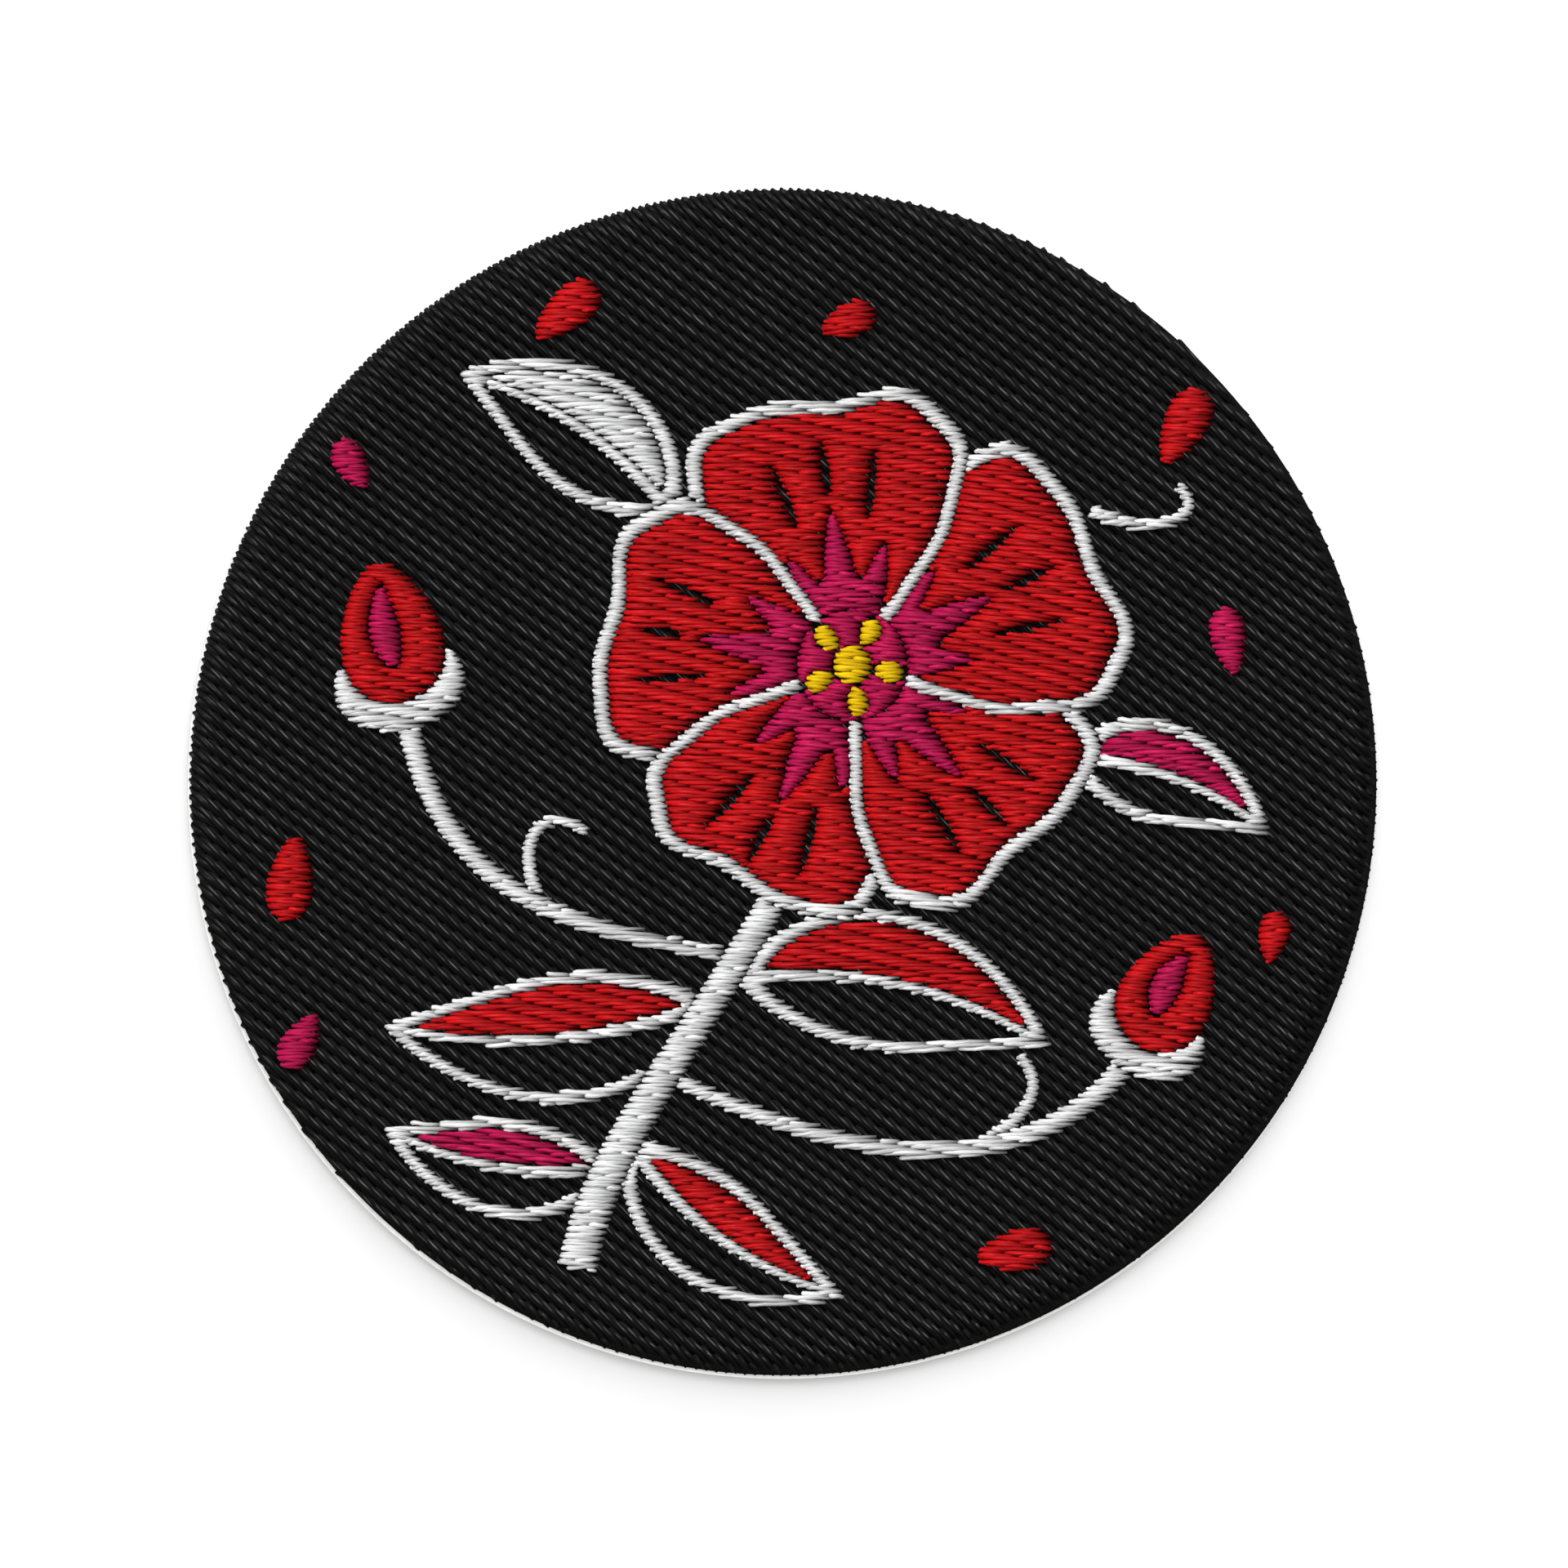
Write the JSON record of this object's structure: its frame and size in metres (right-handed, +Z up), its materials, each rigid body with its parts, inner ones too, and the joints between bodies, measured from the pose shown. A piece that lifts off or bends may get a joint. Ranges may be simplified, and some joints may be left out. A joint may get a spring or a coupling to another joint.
{
  "type": "embroidered clothing patch",
  "caption": "Round embroidered patch: a black stitched disc with a rolled rim on pale backing cloth, with a raised blossom spray in red, white, crimson and yellow thread.",
  "frame": {"origin": "middle of the underside, on the surface the patch lies on", "axes": "+Z up through the stitched face, +Y towards the top of the design, +X to the design's right"},
  "size_m": [0.0762, 0.0764, 0.0029],
  "materials": {
    "backing_cloth": "matt pale woven cloth",
    "black_thread": "lustrous polyester embroidery thread",
    "red_thread": "lustrous polyester embroidery thread",
    "white_thread": "lustrous polyester embroidery thread",
    "crimson_thread": "lustrous polyester embroidery thread",
    "yellow_thread": "lustrous polyester embroidery thread"
  },
  "bodies": {
    "root": {"backing": "backing_cloth", "ground": "black_thread", "pistil": "yellow_thread", "eye": "crimson_thread", "stamen_1": "yellow_thread", "stamen_2": "yellow_thread", "stamen_3": "yellow_thread", "stamen_4": "yellow_thread", "stamen_5": "yellow_thread", "petal_1": "red_thread", "petal_2": "red_thread", "petal_3": "red_thread", "petal_4": "red_thread", "petal_5": "red_thread", "petal_shade_1": "crimson_thread", "petal_shade_2": "crimson_thread", "petal_shade_3": "crimson_thread", "petal_shade_4": "crimson_thread", "petal_shade_5": "crimson_thread", "petal_rim_1": "white_thread", "petal_rim_2": "white_thread", "petal_rim_3": "white_thread", "petal_rim_4": "white_thread", "petal_rim_5": "white_thread", "stem": "white_thread", "side_stem_1": "white_thread", "side_stem_2": "white_thread", "tendril_1": "white_thread", "tendril_2": "white_thread", "tendril_3": "white_thread", "leaf_1": "red_thread", "leaf_2": "red_thread", "leaf_3": "crimson_thread", "leaf_4": "red_thread", "leaf_5": "white_thread", "leaf_6": "crimson_thread", "leaf_rim_1": "white_thread", "leaf_rim_2": "white_thread", "leaf_rim_3": "white_thread", "leaf_rim_4": "white_thread", "leaf_rim_5": "white_thread", "leaf_rim_6": "white_thread", "bud_1": "red_thread", "bud_2": "red_thread", "bud_shade_1": "crimson_thread", "bud_shade_2": "crimson_thread", "bud_cup_1": "white_thread", "bud_cup_2": "white_thread", "drop_1": "red_thread", "drop_2": "crimson_thread", "drop_3": "red_thread", "drop_4": "crimson_thread", "drop_5": "red_thread", "drop_6": "red_thread", "drop_7": "crimson_thread", "drop_8": "red_thread", "drop_9": "red_thread"}
  },
  "joints": []
}
